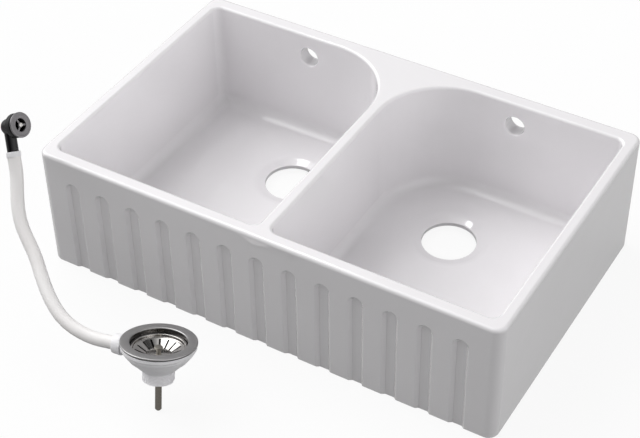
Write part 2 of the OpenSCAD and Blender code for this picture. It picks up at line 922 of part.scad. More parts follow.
// Union nut with its grip grooves, which clamps the hose's tail to the spigot
module union_nut() {
    color("white")
        on_spigot()
            difference() {
                translate([0, 0, nut_start])
                    cylinder(r1 = nut_r, r2 = nut_end_r, h = nut_len, $fn = round_fn);
                translate([0, 0, nut_start - cut])
                    cylinder(r = spigot_r + thread_gap, h = shoulder - nut_start + cut, $fn = round_fn);
                translate([0, 0, nut_start])
                    cylinder(r = tail_r + thread_gap, h = nut_len + cut, $fn = round_fn);
                for (i = [0:nut_groove_count - 1])
                    rotate([0, 0, i * 360 / nut_groove_count])
                        translate([nut_r + nut_groove_r / 2, 0, nut_start - cut])
                            cylinder(r = nut_groove_r, h = nut_len + 2 * cut, $fn = round_fn);
            }
}

// Flat seal between the spigot and the hose's tail
module union_seal() {
    color("black")
        on_spigot()
            ring(spigot_r - thread_gap, spigot_bore_r, spigot_end, union_seal_t);
}

// Hollow tail that the hose is pushed on, with its collar inside the nut
module hose_tail() {
    color("white")
        on_spigot()
            rotate_extrude($fn = round_fn)
                polygon([
                    [tail_bore_r, tail_collar_start],
                    [spigot_r - thread_gap, tail_collar_start],
                    [spigot_r - thread_gap, shoulder],
                    [tail_r, shoulder],
                    [tail_r, nut_end + tail_len],
                    [tail_bore_r, nut_end + tail_len]
                ]);
}

// Point of a smooth curve that follows four neighbouring route points
function spline(a, b, c, d, t) = (
    (1 - t) ^ 3 * a
    + (3 * t ^ 3 - 6 * t ^ 2 + 4) * b
    + (3 * t ^ 2 - 3 * t ^ 3 + 3 * t + 1) * c
    + t ^ 3 * d
) / 6;

// The smooth centre line of the hose, from the nut to the elbow
function centre_line(points) =
    let (
        last = len(points) - 1,
        p = concat(
            [2 * points[0] - points[1]],
            points,
            [2 * points[last] - points[last - 1]]
        )
    )
    concat(
        [
            for (i = [0:last - 1], k = [0:hose_steps - 1])
                spline(p[i], p[i + 1], p[i + 2], p[i + 3], k / hose_steps)
        ],
        [points[last]]
    );

// A ring of points around a place on the centre line, square to its direction
function hose_ring(at, way, r) =
    let (
        side = cross([0, 1, 0], way) / norm(cross([0, 1, 0], way)),
        up = cross(way, side)
    )
    [
        for (i = [0:hose_sides - 1])
            let (a = 360 * i / hose_sides)
            at + r * (cos(a) * side + sin(a) * up)
    ];

// Faces of an open tube whose rings hold n outer and n inner points
function tube_faces(n, rings) = concat(
    [
        for (k = [0:rings - 2], i = [0:n - 1])
            let (
                a = 2 * n * k + i,
                b = 2 * n * k + (i + 1) % n,
                up = 2 * n
            )
            each [
                [a, a + up, b + up],
                [a, b + up, b],
                [a + n, b + n + up, a + n + up],
                [a + n, b + n, b + n + up]
            ]
    ],
    [
        for (i = [0:n - 1])
            let (j = (i + 1) % n, top = 2 * n * (rings - 1))
            each [
                [i, j, j + n],
                [i, j + n, i + n],
                [top + i, top + j + n, top + j],
                [top + i, top + i + n, top + j + n]
            ]
    ]
);

// Smooth plastic hose from the union nut to the elbow
module overflow_hose() {
    line = centre_line(hose_points);
    last = len(line) - 1;
    ways = [
        for (i = [0:last])
            let (v = line[min(i + 1, last)] - line[max(i - 1, 0)])
            v / norm(v)
    ];
    color("floralwhite")
        kit_place()
            polyhedron(
                points = [
                    for (i = [0:last])
                        each concat(
                            hose_ring(line[i], ways[i], hose_r),
                            hose_ring(line[i], ways[i], hose_bore_r)
                        )
                ],
                faces = tube_faces(hose_sides, last + 1)
            );
}

// Cuff around the top end of the hose
module hose_cuff() {
    color("white")
        elbow_place()
            ring(cuff_r, hose_r + thread_gap, -leg_len - cuff_len, cuff_len);
}

// Domed elbow with its flange, its leg and the boss for the rose's screw
module overflow_elbow() {
    bore_r = dome_r - elbow_wall;
    color("black") {
        elbow_place()
            difference() {
                union() {
                    sphere(r = dome_r, $fn = round_fn);
                    rotate([0, 90, 0])
                        cylinder(r = dome_r, h = elbow_face_x, $fn = round_fn);
                    translate([elbow_face_x - elbow_flange_t, 0, 0])
                        rotate([0, 90, 0])
                            cylinder(r = elbow_flange_r, h = elbow_flange_t, $fn = round_fn);
                    translate([0, 0, -leg_len])
                        cylinder(r = leg_r, h = leg_len, $fn = round_fn);
                    translate([0, 0, -leg_len - tail_len])
                        cylinder(r = tail_r, h = tail_len + cut, $fn = round_fn);
                }
                sphere(r = bore_r, $fn = round_fn);
                rotate([0, 90, 0])
                    cylinder(r = bore_r, h = elbow_face_x + cut, $fn = round_fn);
                translate([0, 0, -leg_len - tail_len - cut])
                    cylinder(r = tail_bore_r, h = leg_len + tail_len + cut, $fn = round_fn);
            }
        on_mouth()
            difference() {
                translate([0, 0, elbow_wall / 2 - dome_r])
                    cylinder(r = boss_r, h = dome_r - elbow_wall / 2 + boss_end_x, $fn = round_fn);
                cylinder(r = elbow_insert_r + thread_gap, h = boss_end_x + cut, $fn = round_fn);
            }
    }
}

// Brass insert in the elbow that the rose's screw runs into
module elbow_insert() {
    color("goldenrod")
        on_mouth()
            ring(elbow_insert_r, screw_r + thread_gap, 0, boss_end_x);
}

// Thick soft washer that seals the elbow to the back of the sink
module overflow_washer() {
    color("black")
        on_mouth()
            ring(washer_r, washer_bore_r, elbow_face_x, washer_t);
}

// Overflow rose with its open centre, three spokes and hub
module overflow_rose() {
    rim_in_r = rose_r * rose_rim_share;
    face_x = rose_front_x - rose_rim_step;
    color("silver")
        on_mouth()
            difference() {
                union() {
                    rotate_extrude($fn = round_fn)
                        polygon(concat(
                            [
                                [rose_open_r, rose_x],
                                [rose_collar_r, rose_x],
                                [rose_collar_r, plate_x],
                                [rose_r, plate_x]
                            ],
                            arc(rose_r - rose_edge_r, rose_front_x - rose_edge_r, rose_edge_r, 0, 90, edge_steps),
                            [[rim_in_r, rose_front_x], [rim_in_r - rose_rim_step, face_x]],
                            arc(rose_open_r + rose_edge_r, face_x - rose_edge_r, rose_edge_r, 90, 180, edge_steps)
                        ));
                    translate([0, 0, plate_x])
                        cylinder(r = rose_hub_r, h = hub_front_x - plate_x, $fn = round_fn);
                    for (i = [0:2])
                        rotate([0, 0, 90 + i * 120])
                            translate([0, -spoke_w / 2, plate_x])
                                cube([(rose_open_r + rose_collar_r) / 2, spoke_w, hub_front_x - plate_x]);
                }
                translate([0, 0, plate_x - cut])
                    cylinder(r = screw_r + thread_gap, h = rose_t + 2 * cut, $fn = round_fn);
            }
}

// Screw through the rose into the elbow
module rose_screw() {
    edge = screw_head_h / 3;
    color("silver")
        on_mouth()
            difference() {
                rotate_extrude($fn = round_fn)
                    polygon([
                        [0, screw_end_x],
                        [screw_r, screw_end_x],
                        [screw_r, hub_front_x],
                        [screw_head_r, hub_front_x],
                        [screw_head_r, rose_front_x - edge],
                        [screw_head_r - edge, rose_front_x],
                        [0, rose_front_x]
                    ]);
                translate([-screw_head_r, -edge / 2, rose_front_x - screw_head_h / 2])
                    cube([2 * screw_head_r, edge, screw_head_h]);
            }
}

sink_body();
strainer_cup();
flange_gasket();
body_gasket();
waste_body();
hub_insert();
fixing_stud();
stud_washer();
basket();
basket_knob();
basket_stem();
basket_seal();
stem_ring();
union_nut();
union_seal();
hose_tail();
overflow_hose();
hose_cuff();
overflow_elbow();
elbow_insert();
overflow_washer();
overflow_rose();
rose_screw();
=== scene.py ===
import math

import bpy
from mathutils import Matrix, Vector


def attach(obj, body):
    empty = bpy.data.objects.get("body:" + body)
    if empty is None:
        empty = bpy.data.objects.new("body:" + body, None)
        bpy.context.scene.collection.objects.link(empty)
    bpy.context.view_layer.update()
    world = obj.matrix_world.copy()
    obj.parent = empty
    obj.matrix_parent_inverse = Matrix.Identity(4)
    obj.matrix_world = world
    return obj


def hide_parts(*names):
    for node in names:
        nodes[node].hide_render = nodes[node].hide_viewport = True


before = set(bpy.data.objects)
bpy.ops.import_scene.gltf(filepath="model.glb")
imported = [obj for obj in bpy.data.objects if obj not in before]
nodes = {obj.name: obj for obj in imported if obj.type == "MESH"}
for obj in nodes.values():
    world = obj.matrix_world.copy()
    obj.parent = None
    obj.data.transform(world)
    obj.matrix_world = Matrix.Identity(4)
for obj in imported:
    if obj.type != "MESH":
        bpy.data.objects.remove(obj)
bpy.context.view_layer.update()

# The camera
# It looks down at the front right corner of the sink from about 2.5 m. Its
# place was solved from the sink's straight edges, and it leans by under a degree.
mm = 0.001
view_azimuth = math.radians(31.173)
view_elevation = math.radians(41.093)
view_roll = math.radians(-0.883)
view_target = Vector((-3.086, -60.635, 110)) * mm
view_distance = 2529.613 * mm
focal_px = 1614.135
frame_px = 640
sensor_width = 36

toward_camera = Vector((
    math.sin(view_azimuth) * math.cos(view_elevation),
    -math.cos(view_azimuth) * math.cos(view_elevation),
    math.sin(view_elevation),
))
level_right = Vector((math.cos(view_azimuth), math.sin(view_azimuth), 0))
level_up = toward_camera.cross(level_right)
camera_right = math.cos(view_roll) * level_right + math.sin(view_roll) * level_up
camera_up = math.cos(view_roll) * level_up - math.sin(view_roll) * level_right
bpy.ops.object.camera_add()
camera = bpy.context.object
camera.matrix_world = Matrix.Translation(view_target + view_distance * toward_camera) @ Matrix((
    camera_right, camera_up, toward_camera)).transposed().to_4x4()
camera.data.sensor_width = sensor_width
camera.data.lens = focal_px / frame_px * sensor_width
camera.data.dof.use_dof = False
bpy.context.scene.camera = camera

# The overflow hose
# A stiff smooth hose of milky plastic that carries the overflow down to the waste.
# It is pushed on a barb at either end, and keeps the curve that it was packed in.
hose_r = 10.2
hose_bore_r = 8.6
hose_steps = 4
hose_weld = 0.01
hose_bends = [(-165, 5, -5), (-210, 35, 40), (-230, 55, 70), (-270, 70, 110)]
stud_tip_r = 3
stud_len = 114
spigot_drop = 19.2
nut_end = 71
leg_len = 38
kit_x = -57
kit_y = -440
kit_azimuth = math.radians(110)
kit_lean = math.radians(18)
kit_turn = math.radians(-100)
elbow_at = Vector((-305, 115, 240))
elbow_azimuth = math.radians(141)
elbow_lean = math.radians(22)
elbow_turn = math.radians(-160)

# The waste is drawn with its axis upright and the middle of its flange at the
# origin. It stands on the tip of its stud, leaning, and the elbow leans from it.
kit_place = (
    Matrix.Translation(Vector((kit_x, kit_y, stud_tip_r * math.sin(kit_lean))) * mm)
    @ Matrix.Rotation(kit_azimuth, 4, "Z")
    @ Matrix.Rotation(kit_lean, 4, "Y")
    @ Matrix.Rotation(kit_turn, 4, "Z")
    @ Matrix.Translation((0, 0, stud_len * mm))
)
leg_tilt = Matrix.Rotation(elbow_azimuth, 4, "Z") @ Matrix.Rotation(elbow_lean, 4, "Y")
elbow_place = (
    kit_place
    @ Matrix.Translation(elbow_at * mm)
    @ leg_tilt
    @ Matrix.Rotation(elbow_turn, 4, "Z")
)
leg_up = leg_tilt @ Vector((0, 0, 1))
hose_foot = Vector((-nut_end, 0, -spigot_drop))
hose_head = elbow_at - leg_len * leg_up


def add_node(material, kind, sockets=(), **settings):
    """Adds a node. A socket that is given a node's output is linked, and any other value is set on it."""
    new = material.node_tree.nodes.new(kind)
    for name, value in settings.items():
        setattr(new, name, value)
    for name, value in dict(sockets).items():
        if isinstance(value, bpy.types.NodeSocket):
            material.node_tree.links.new(value, new.inputs[name])
        else:
            new.inputs[name].default_value = value
    return new


def linear(code):
    """Turns an sRGB colour such as f2f2f0 into the linear one that a shader takes."""
    shares = [int(code[i:i + 2], 16) / 255 for i in (0, 2, 4)]
    return [s / 12.92 if s <= 0.04045 else ((s + 0.055) / 1.055) ** 2.4 for s in shares] + [1]


def new_finish(name, **sockets):
    """Makes a material whose main shader has these values, named as its sockets but without blanks."""
    material = bpy.data.materials.new(name)
    material.use_nodes = True
    shader = material.node_tree.nodes["Principled BSDF"]
    for socket in shader.inputs:
        value = sockets.get(socket.name.replace(" ", ""))
        if value is not None:
            socket.default_value = value
    return material, shader


def clouds(material, scale, detail, place=None):
    """Gives the number of a cloudy pattern, with this many clouds to a metre."""
    if place is None:
        place = add_node(material, "ShaderNodeTexCoord").outputs["Object"]
    return add_node(material, "ShaderNodeTexNoise", {
        "Vector": place, "Scale": scale, "Detail": detail}).outputs["Fac"]


def roughen(material, shader, pattern, strength, height):
    """Gives a finish a fine relief from a pattern's number. The height is in mm."""
    dents = add_node(material, "ShaderNodeBump", {
        "Height": pattern, "Strength": strength, "Distance": height * mm})
    material.node_tree.links.new(dents.outputs["Normal"], shader.inputs["Normal"])


def vary_colour(material, shader, pattern, colours):
    """Colours a finish by a pattern's number, from one sRGB colour at 0 to the other at 1."""
    ramp = add_node(material, "ShaderNodeValToRGB", {"Fac": pattern})
    for element, colour in zip(ramp.color_ramp.elements, colours):
        element.color = linear(colour)
    material.node_tree.links.new(ramp.outputs["Color"], shader.inputs["Base Color"])
    return ramp


def show_only(piece):
    """Makes a piece the only selected object, and the one that operators act on."""
    if bpy.context.object and bpy.context.object.mode != "OBJECT":
        bpy.ops.object.mode_set(mode="OBJECT")
    bpy.ops.object.select_all(action="DESELECT")
    piece.select_set(True)
    bpy.context.view_layer.objects.active = piece


def modify(piece, kind, **settings):
    """Adds a modifier with its settings and applies it."""
    show_only(piece)
    modifier = piece.modifiers.new(kind.title(), kind)
    for name, value in settings.items():
        setattr(modifier, name, value)
    bpy.ops.object.modifier_apply(modifier=modifier.name)


def dress(piece, material, slot, *cad_nodes, body="sink", smooth=32, even=False):
    """Smooths a finished piece, gives it its material, and lets it stand for its CAD nodes.

    A piece with wide flat faces is evened, so that its rounded edges don't shade into them.
    """
    show_only(piece)
    bpy.ops.object.shade_smooth_by_angle(angle=math.radians(smooth))
    if even:
        modify(piece, "WEIGHTED_NORMAL", keep_sharp=True, weight=100)
    piece.data.materials.clear()
    piece.data.materials.append(material)
    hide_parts(*cad_nodes)
    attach(piece, body)


# The hose's centre line runs straight off both barbs and bends smoothly between
straight = 2 * hose_r
line = [hose_foot - Vector((i * straight, 0, 0)) for i in range(3)]
line += [Vector(bend) for bend in hose_bends]
line += [hose_head - i * straight * leg_up for i in (2, 1, 0)]
line = [2 * line[0] - line[1]] + line + [2 * line[-1] - line[-2]]
hose_path = []
for i in range(len(line) - 3):
    a, b, c, d = line[i:i + 4]
    for k in range(hose_steps + (i == len(line) - 4)):
        t = k / hose_steps
        point = ((1 - t) ** 3 * a + (3 * t ** 3 - 6 * t ** 2 + 4) * b
                 + (3 * t ** 2 - 3 * t ** 3 + 3 * t + 1) * c + t ** 3 * d) / 6
        hose_path.append(kit_place @ (point * mm))

hose_curve = bpy.data.curves.new("hose_line", "CURVE")
hose_curve.dimensions = "3D"
hose_spline = hose_curve.splines.new("POLY")
hose_spline.points.add(len(hose_path) - 1)
for spot, point in zip(hose_spline.points, hose_path):
    spot.co = (*point, 1)
hose_curve.bevel_depth = hose_r * mm
hose_curve.bevel_resolution = 6
overflow_hose = bpy.data.objects.new("milky_hose", hose_curve)
bpy.context.collection.objects.link(overflow_hose)
show_only(overflow_hose)
bpy.ops.object.convert(target="MESH")
bpy.ops.object.mode_set(mode="EDIT")
bpy.ops.mesh.select_all(action="SELECT")
bpy.ops.mesh.remove_doubles(threshold=hose_weld * mm)
bpy.ops.mesh.normals_make_consistent(inside=False)
bpy.ops.object.mode_set(mode="OBJECT")
modify(overflow_hose, "SOLIDIFY", thickness=(hose_r - hose_bore_r) * mm, offset=-1, use_rim=True)

# Milky plastic, extruded: white with a soft sheen, a warm cast in patches, and the
# fine dull skin that the die leaves.
milky_plastic, shader = new_finish(
    "milky extruded plastic", Roughness=0.4, IOR=1.5, SubsurfaceWeight=0.12,
    SubsurfaceRadius=(1, 1, 1), SubsurfaceScale=0.002)
patches = clouds(milky_plastic, scale=14, detail=3)
vary_colour(milky_plastic, shader, patches, ["fbf7f6", "fffefd"])
skin = clouds(milky_plastic, scale=420, detail=2)
roughen(milky_plastic, shader, skin, strength=0.05, height=0.2)
dress(overflow_hose, milky_plastic, "cream_plastic", "overflow_hose", smooth=60)

# The sink body
# One piece of fireclay, slip cast with solid walls, dried, sprayed with white
# glaze and fired, so every edge is soft and the glaze lies glossy all over.
sink_w = 795
sink_d = 500
sink_h = 220
corner_r = 18
top_edge_r = 6
bottom_edge_r = 4
side_wall = 20
front_wall = 23
back_wall = 26
divider_w = 20
rim_edge_r = 5
bowl_corner_r = 13
deck_corner_r = 120
wall_draft = 3
floor_fillet_r = 20
floor_t = 22
floor_low = 19
waste_x = 150
waste_y = 91
waste_hole_r = 45
seat_r = 47
seat_z = 14.5
recess_r = 62
relief_r = 62
relief_h = 8
overflow_x = 192.5
overflow_z = 177
overflow_hole_r = 17
overflow_lip_r = 3
flute_count = 13
flute_pitch = 56
flute_w = 25
flute_floor_w = 15.5
flute_depth = 5.5
flute_arch_z = 165.5
flute_edge_r = 1.2
flute_crease_r = 0.5
recess_edge_r = 5
lip_edge_r = 1

# How finely an outline's corners are drawn and how near points are made one, how far
# a tool stands out past a face, how near counts as on it, and how deep a tool goes
corner_steps = 5
weld = 0.002
cut = 1
near = 0.1
reach = 30


def settle(piece, place=None):
    """Puts a piece's place into its mesh, so that its object sits at the origin."""
    show_only(piece)
    if place:
        piece.matrix_world = place
    bpy.ops.object.transform_apply(location=True, rotation=True, scale=True)


def soften(outline):
    """Rounds the corners of an outline that have a radius as their third number."""
    points = []
    for i, corner in enumerate(outline):
        here = Vector(corner[:2])
        if len(corner) < 3:
            points.append(here)
            continue
        back = (Vector(outline[i - 1][:2]) - here).normalized()
        ahead = (Vector(outline[(i + 1) % len(outline)][:2]) - here).normalized()
        half = back.angle(ahead) / 2
        middle = here + (back + ahead).normalized() * corner[2] / math.sin(half)
        start = here + back * corner[2] / math.tan(half) - middle
        end = here + ahead * corner[2] / math.tan(half) - middle
        first = math.atan2(start.y, start.x)
        sweep = (math.atan2(end.y, end.x) - first + math.pi) % (2 * math.pi) - math.pi
        for k in range(corner_steps + 1):
            turn = first + sweep * k / corner_steps
            points.append(middle + corner[2] * Vector((math.cos(turn), math.sin(turn))))
    return points


def turned(name, outline, closed=True, steps=96, place=None):
    """Draws an outline and spins it round the Z axis.

    Each point of the outline is a radius, a height and, at a rounded corner, its radius, in mm.
    """
    points = soften(outline)
    bpy.ops.object.select_all(action="DESELECT")
    bpy.ops.mesh.primitive_plane_add(size=mm)
    piece = bpy.context.object
    piece.name = name
    bpy.context.tool_settings.mesh_select_mode = (True, False, False)
    bpy.ops.object.mode_set(mode="EDIT")
    bpy.ops.mesh.select_all(action="SELECT")
    bpy.ops.mesh.merge(type="CENTER")
    bpy.ops.transform.translate(value=(points[0].x * mm, 0, points[0].y * mm))
    for start, end in zip(points, points[1:] + (points[:1] if closed else [])):
        step = (end - start) * mm
        bpy.ops.mesh.extrude_region_move(TRANSFORM_OT_translate={"value": (step.x, 0, step.y)})
    bpy.ops.mesh.select_all(action="SELECT")
    bpy.ops.mesh.remove_doubles(threshold=weld * mm)
    bpy.ops.mesh.spin(steps=steps, angle=2 * math.pi, center=(0, 0, 0), axis=(0, 0, 1))
    bpy.ops.mesh.select_all(action="SELECT")
    bpy.ops.mesh.remove_doubles(threshold=weld * mm)
    bpy.ops.mesh.delete_loose()
    bpy.ops.mesh.select_all(action="SELECT")
    bpy.ops.mesh.normals_make_consistent(inside=False)
    bpy.ops.object.mode_set(mode="OBJECT")
    settle(piece, place)
    return piece


def pick(piece, kind, test):
    """Opens a piece for editing with those vertices, edges or faces selected that pass a test.

    Every point of each has to pass. The test takes a point's x, y and z in mm.
    """
    show_only(piece)
    mesh = piece.data
    bpy.context.tool_settings.mesh_select_mode = (kind == "vertices", kind == "edges", kind == "polygons")
    for part in (mesh.vertices, mesh.edges, mesh.polygons):
        part.foreach_set("select", [False] * len(part))
    for item in getattr(mesh, kind):
        spots = [item.co] if kind == "vertices" else [mesh.vertices[i].co for i in item.vertices]
        item.select = all(test(*(spot / mm)) for spot in spots)
    bpy.ops.object.mode_set(mode="EDIT")


def pick_sharp(piece, test, angle=60):
    """Opens a piece for editing with its sharp edges selected whose middles pass a test."""
    show_only(piece)
    bpy.context.tool_settings.mesh_select_mode = (False, True, False)
    bpy.ops.object.mode_set(mode="EDIT")
    bpy.ops.mesh.select_all(action="DESELECT")
    bpy.ops.mesh.edges_select_sharp(sharpness=math.radians(angle))
    bpy.ops.object.mode_set(mode="OBJECT")
    mesh = piece.data
    keep = []
    for edge in mesh.edges:
        first, last = (mesh.vertices[i].co for i in edge.vertices)
        keep.append(edge.select and test(*((first + last) / 2 / mm)))
    mesh.vertices.foreach_set("select", [False] * len(mesh.vertices))
    mesh.polygons.foreach_set("select", [False] * len(mesh.polygons))
    mesh.edges.foreach_set("select", keep)
    bpy.ops.object.mode_set(mode="EDIT")


def finish_edit():
    """Ends the edit with doubles merged and every face turned outward."""
    bpy.ops.mesh.select_all(action="SELECT")
    bpy.ops.mesh.remove_doubles(threshold=weld * mm)
    bpy.ops.mesh.normals_make_consistent(inside=False)
    bpy.ops.object.mode_set(mode="OBJECT")


def round_off(radius, segments, loop_slide=False):
    """Rounds the selected edges and ends the edit."""
    bpy.ops.mesh.bevel(
        offset=radius * mm, segments=segments, clamp_overlap=False, loop_slide=loop_slide)
    finish_edit()


def block(name, low, high):
    """Makes a plain block between two corners, to be shaped further."""
    bpy.ops.object.select_all(action="DESELECT")
    middle = [(a + b) / 2 * mm for a, b in zip(low, high)]
    sides = [(b - a) * mm for a, b in zip(low, high)]
    bpy.ops.mesh.primitive_cube_add(size=1, location=middle, scale=sides)
    piece = bpy.context.object
    piece.name = name
    settle(piece)
    return piece


def cut_out(piece, tool, mirrored=False):
    """Cuts a tool's shape out of a piece, on both sides if it is mirrored, and drops the tool."""
    if mirrored:
        modify(tool, "MIRROR", use_axis=(True, False, False))
    modify(piece, "BOOLEAN", operation="DIFFERENCE", solver="EXACT", object=tool)
    bpy.data.objects.remove(tool)


# The block: its upright corners are rounded first, then its top and bottom edge
sink = block("glazed_sink", (-sink_w / 2, -sink_d / 2, 0), (sink_w / 2, sink_d / 2, sink_h))
pick_sharp(sink, lambda x, y, z: cut < z < sink_h - cut)
round_off(corner_r, segments=10)
pick_sharp(sink, lambda x, y, z: z > sink_h - cut)
round_off(top_edge_r, segments=8)
pick_sharp(sink, lambda x, y, z: z < cut)
round_off(bottom_edge_r, segments=4)

# The hollow of the right bowl: a block drawn in at its foot. Its wide corner and its
# floor are rounded first, and then its three tight corners from the rim to the floor.
bowl_low = (divider_w / 2, front_wall - sink_d / 2, floor_t)
bowl_high = (sink_w / 2 - side_wall, sink_d / 2 - back_wall, sink_h + cut)
bowl = block("bowl", bowl_low, bowl_high)
bowl_middle = [(a + b) / 2 for a, b in zip(bowl_low, bowl_high)]
pick(bowl, "vertices", lambda x, y, z: z < floor_t + cut)
bpy.ops.transform.resize(
    value=(
        1 - 2 * wall_draft / (bowl_high[0] - bowl_low[0]),
        1 - 2 * wall_draft / (bowl_high[1] - bowl_low[1]),
        1,
    ),
    center_override=[m * mm for m in bowl_middle],
)
finish_edit()
pick_sharp(bowl, lambda x, y, z: x < divider_w and y > waste_y and floor_t + cut < z < sink_h)
round_off(deck_corner_r, segments=24)
pick_sharp(bowl, lambda x, y, z: z < floor_t + cut)
round_off(floor_fillet_r, segments=10)
corner_reach = floor_fillet_r + 2 * wall_draft
pick_sharp(bowl, lambda x, y, z: (
    z < sink_h
    and min(x - bowl_low[0], bowl_high[0] - x) < corner_reach
    and min(y - bowl_low[1], bowl_high[1] - y) < corner_reach
    and not (x < bowl_middle[0] and y > bowl_middle[1])), angle=3)
round_off(bowl_corner_r, segments=10, loop_slide=True)

# The floor falls to the dished recess, and the waste hole goes on down through it
pick(bowl, "polygons", lambda x, y, z: z < floor_t + near)
bpy.ops.mesh.delete(type="ONLY_FACE")
bpy.ops.mesh.primitive_circle_add(
    vertices=96,
    radius=recess_r * mm,
    fill_type="NGON",
    location=(waste_x * mm, waste_y * mm, floor_low * mm),
)
bpy.ops.object.mode_set(mode="OBJECT")
pick(bowl, "edges", lambda x, y, z: z < floor_t + near)
bpy.ops.mesh.bridge_edge_loops()
bpy.ops.object.mode_set(mode="OBJECT")
drain_steps = [(recess_r, floor_low), (seat_r, seat_z), (waste_hole_r, seat_z), (waste_hole_r, -cut)]
for (outer, high), (inner, low) in zip(drain_steps, drain_steps[1:]):
    pick(bowl, "polygons", lambda x, y, z: (
        z < high + near and math.hypot(x - waste_x, y - waste_y) < outer + near))
    bpy.ops.mesh.extrude_region_move(TRANSFORM_OT_translate={"value": (0, 0, (low - high) * mm)})
    bpy.ops.transform.resize(
        value=(inner / outer, inner / outer, 1), center_override=(waste_x * mm, waste_y * mm, low * mm))
    bpy.ops.object.mode_set(mode="OBJECT")
pick_sharp(bowl, lambda x, y, z: (
    math.hypot(x - waste_x, y - waste_y) > seat_r + cut and z < floor_low + cut), angle=5)
round_off(recess_edge_r, segments=5)
pick_sharp(bowl, lambda x, y, z: (
    math.hypot(x - waste_x, y - waste_y) < seat_r + cut and seat_z - cut < z < seat_z + cut), angle=10)
round_off(lip_edge_r, segments=3)
cut_out(sink, bowl, mirrored=True)
pick_sharp(sink, lambda x, y, z: z > sink_h - cut, angle=40)
round_off(rim_edge_r, segments=8)

# The hollow under each lip, which takes the waste body
relief = turned("relief", [(0, -cut), (relief_r, -cut), (relief_r, relief_h), (0, relief_h)],
                place=Matrix.Translation(Vector((waste_x, waste_y, 0)) * mm))
cut_out(sink, relief, mirrored=True)
pick(sink, "edges", lambda x, y, z: z < relief_h + cut)
bpy.ops.mesh.fill_holes(sides=4)
finish_edit()

# The overflow holes through the back wall
overflow_tool = turned("overflow_tool", [
    (0, 0), (overflow_hole_r, 0), (overflow_hole_r, 2 * reach), (0, 2 * reach),
], place=Matrix.Translation(Vector((overflow_x, sink_d / 2 - reach - back_wall, overflow_z)) * mm)
    @ Matrix.Rotation(-math.pi / 2, 4, "X"))
cut_out(sink, overflow_tool, mirrored=True)

# The flutes: a round ended groove with sloped sides, modelled once and repeated
mouth_w = flute_w + 2 * cut * (flute_w - flute_floor_w) / 2 / flute_depth
bpy.ops.object.select_all(action="DESELECT")
bpy.ops.mesh.primitive_cone_add(
    vertices=64,
    radius1=mouth_w / 2 * mm,
    radius2=flute_floor_w / 2 * mm,
    depth=(flute_depth + cut) * mm,
    location=(
        -(flute_count - 1) / 2 * flute_pitch * mm,
        (-sink_d / 2 + (flute_depth - cut) / 2) * mm,
        flute_arch_z * mm,
    ),
    rotation=(-math.pi / 2, 0, 0),
)
flutes = bpy.context.object
settle(flutes)
bpy.ops.object.mode_set(mode="EDIT")
bpy.ops.mesh.select_all(action="SELECT")
bpy.ops.mesh.bisect(
    plane_co=(0, 0, flute_arch_z * mm), plane_no=(0, 0, 1), use_fill=True, clear_inner=True)
bpy.ops.mesh.extrude_region_move(
    TRANSFORM_OT_translate={"value": (0, 0, -(flute_arch_z + cut) * mm)})
finish_edit()
modify(flutes, "ARRAY", count=flute_count, use_relative_offset=False, use_constant_offset=True,
       constant_offset_displace=(flute_pitch * mm, 0, 0))
cut_out(sink, flutes)

# Clay edges that the glaze softens: the fine creases beside the flutes' floors, the
# flutes' mouths, and the mouths of the overflow holes
flute_bottom = -sink_d / 2 + flute_depth
pick_sharp(sink, lambda x, y, z: (
    flute_bottom - cut / 2 < y < flute_bottom + cut / 2 and z > near), angle=25)
round_off(flute_crease_r, segments=2)
pick_sharp(sink, lambda x, y, z: y < flute_bottom - cut and z > near, angle=25)
round_off(flute_edge_r, segments=4)
pick_sharp(sink, lambda x, y, z: (
    y > sink_d / 2 - back_wall - 2 * wall_draft
    and math.hypot(abs(x) - overflow_x, z - overflow_z) < overflow_hole_r + cut), angle=40)
round_off(overflow_lip_r, segments=5)

# White glaze over fireclay: a glass layer a little under 1 mm thick, with a hard
# gloss on top and the slow waves and faint patches that spraying leaves.
glaze, shader = new_finish(
    "white glaze on fireclay", Roughness=0.06, IOR=1.52, CoatWeight=0.8, CoatRoughness=0.02)
patches = clouds(glaze, scale=9, detail=4)
vary_colour(glaze, shader, patches, ["f0eef0", "f5f3f5"])
waves = clouds(glaze, scale=28, detail=2)
roughen(glaze, shader, waves, strength=0.25, height=0.4)
dress(sink, glaze, "fireclay", "sink_body", even=True)

# The strainer cup
# A cup pressed from 1.2 mm stainless sheet, with a flat flange brushed in circles,
# a ledge that the basket hangs on, and six drain holes punched in its floor.
sheet_t = 1.2
flange_r = 57
flange_lip = 1.2
mouth_r = 42.3
ledge_depth = 9.5
cup_r = 39
cup_wall_depth = 22
cup_floor_r = 28
cup_depth = 33
drain_r = 4.2
drain_ring_r = 14.5
drain_count = 6
drain_top = reach / 6 - cup_depth
drain_low = -cup_depth - reach
stud_r = 5


def pressed(name, outline, thickness):
    """Spins a sheet's upper face round the Z axis, and thickens it downward and outward."""
    piece = turned(name, outline, closed=False, steps=128)
    if sum(face.normal.z * face.area for face in piece.data.polygons) < 0:
        show_only(piece)
        bpy.ops.object.mode_set(mode="EDIT")
        bpy.ops.mesh.select_all(action="SELECT")
        bpy.ops.mesh.flip_normals()
        bpy.ops.object.mode_set(mode="OBJECT")
    modify(piece, "SOLIDIFY", thickness=thickness * mm, offset=-1, use_even_offset=True)
    return piece


